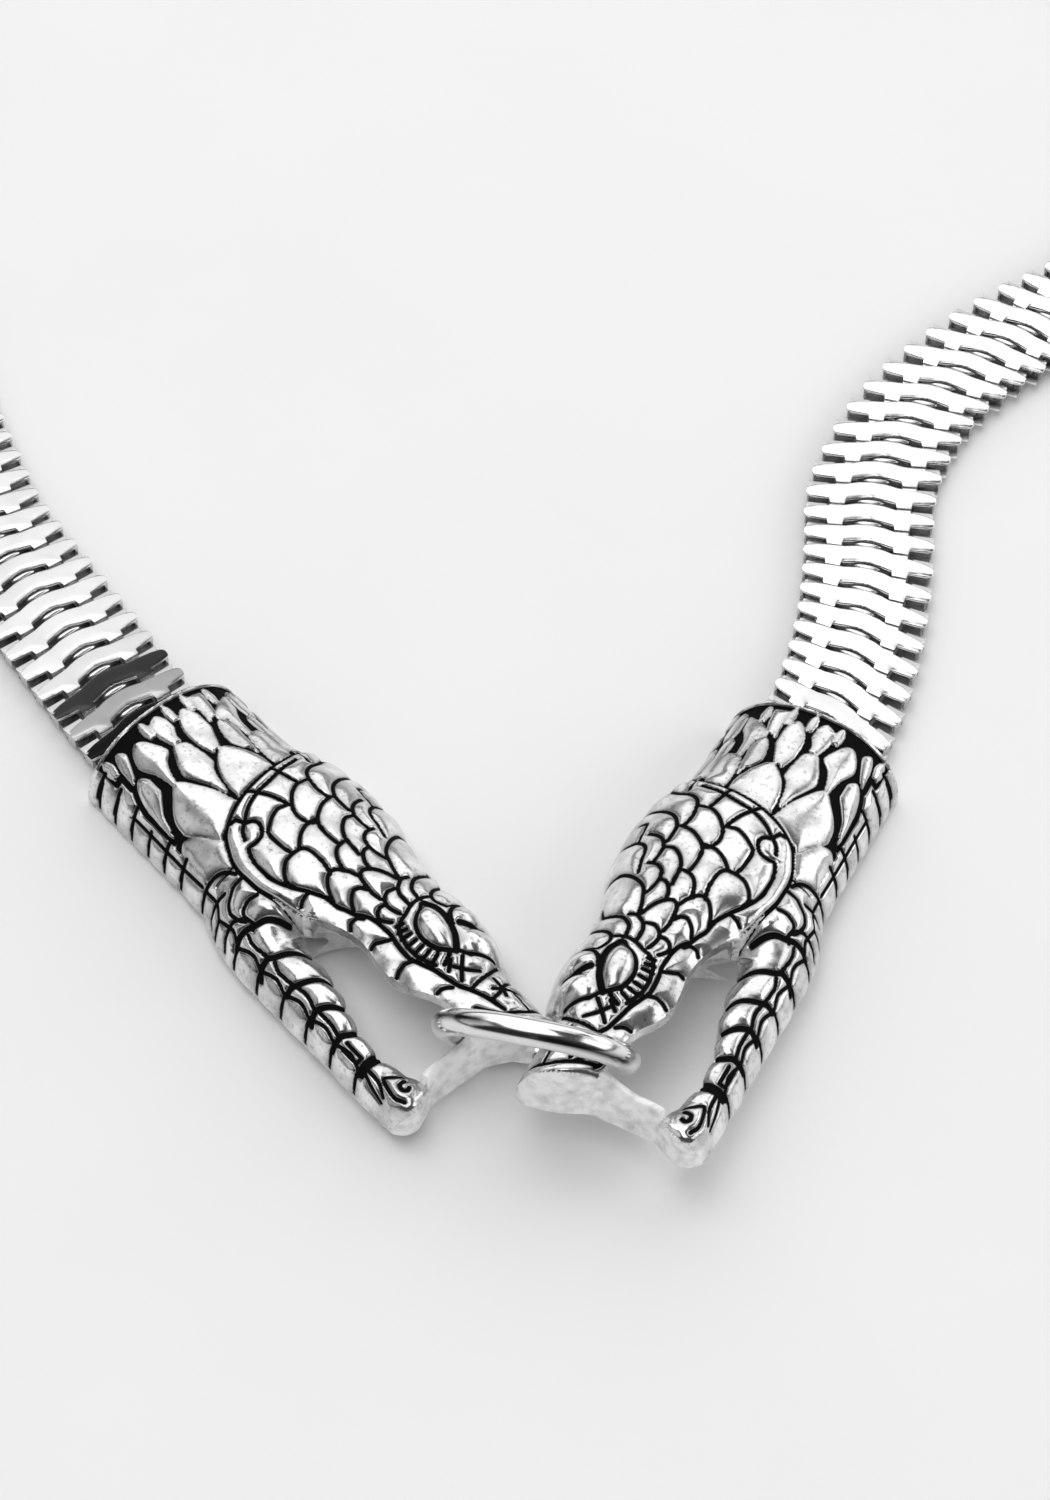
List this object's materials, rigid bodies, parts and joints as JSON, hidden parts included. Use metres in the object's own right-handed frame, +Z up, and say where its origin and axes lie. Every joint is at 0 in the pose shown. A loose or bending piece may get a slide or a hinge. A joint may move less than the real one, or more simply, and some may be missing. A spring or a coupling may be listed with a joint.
{
  "type": "snake choker",
  "caption": "Flat hooked-link choker ending in two mirrored snake heads, joined by a plain ring through both open mouths.",
  "frame": {"origin": "middle of the choker's outline in plan, on the surface that it lies on", "axes": "+Z up, the heads and the ring toward -Y, the hidden back of the chain toward +Y, +X to the wearer's side of the right head in the picture"},
  "size_m": [0.1486, 0.1714, 0.0141],
  "materials": {
    "cast_metal": "antique silver, dark in the recesses",
    "polished_wire": "polished",
    "polished_links": "polished"
  },
  "bodies": {
    "root": {"head_left": "cast_metal", "head_right": "cast_metal", "ring": "polished_wire", "chain_left": "polished_links", "chain_right": "polished_links"}
  },
  "joints": []
}
